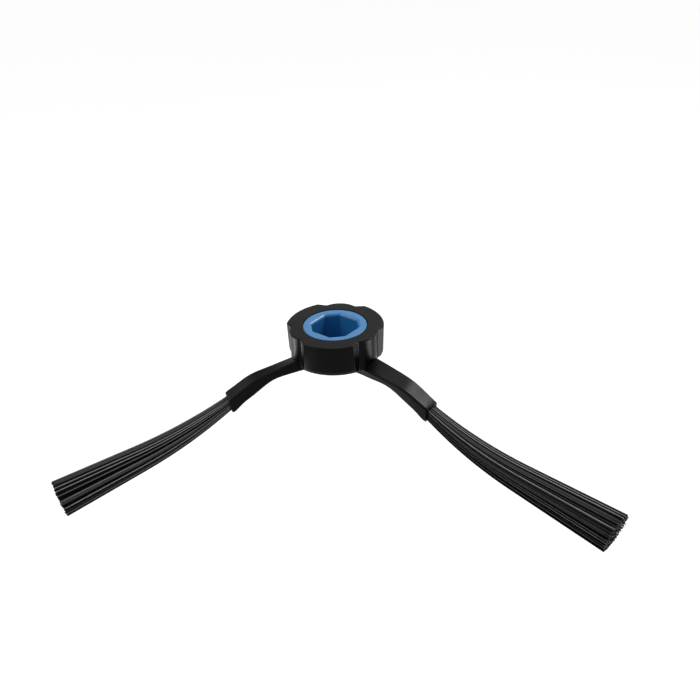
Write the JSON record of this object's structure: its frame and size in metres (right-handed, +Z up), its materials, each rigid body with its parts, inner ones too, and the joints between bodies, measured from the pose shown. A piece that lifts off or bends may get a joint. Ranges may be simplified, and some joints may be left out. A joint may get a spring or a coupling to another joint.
{
  "type": "robot vacuum side brush",
  "caption": "Robot vacuum side brush: black lobed hub with a blue drive socket pressed in, and drooping arms that each hold a fanned tuft of dark nylon bristles.",
  "frame": {"origin": "on the drive axis, in the plane of the hub's top face", "axes": "+Z up along the drive axis, out of the socket's open mouth; +X to the right and -Y towards the side that the arms point to"},
  "size_m": [0.137, 0.0544, 0.035],
  "materials": {
    "black_plastic": "satin black moulding",
    "blue_plastic": "semi-gloss light blue moulding",
    "bristle": "dull black nylon filament"
  },
  "bodies": {
    "root": {"hub_and_arms": "black_plastic", "socket_insert": "blue_plastic", "left_tuft": "bristle", "right_tuft": "bristle"}
  },
  "joints": []
}
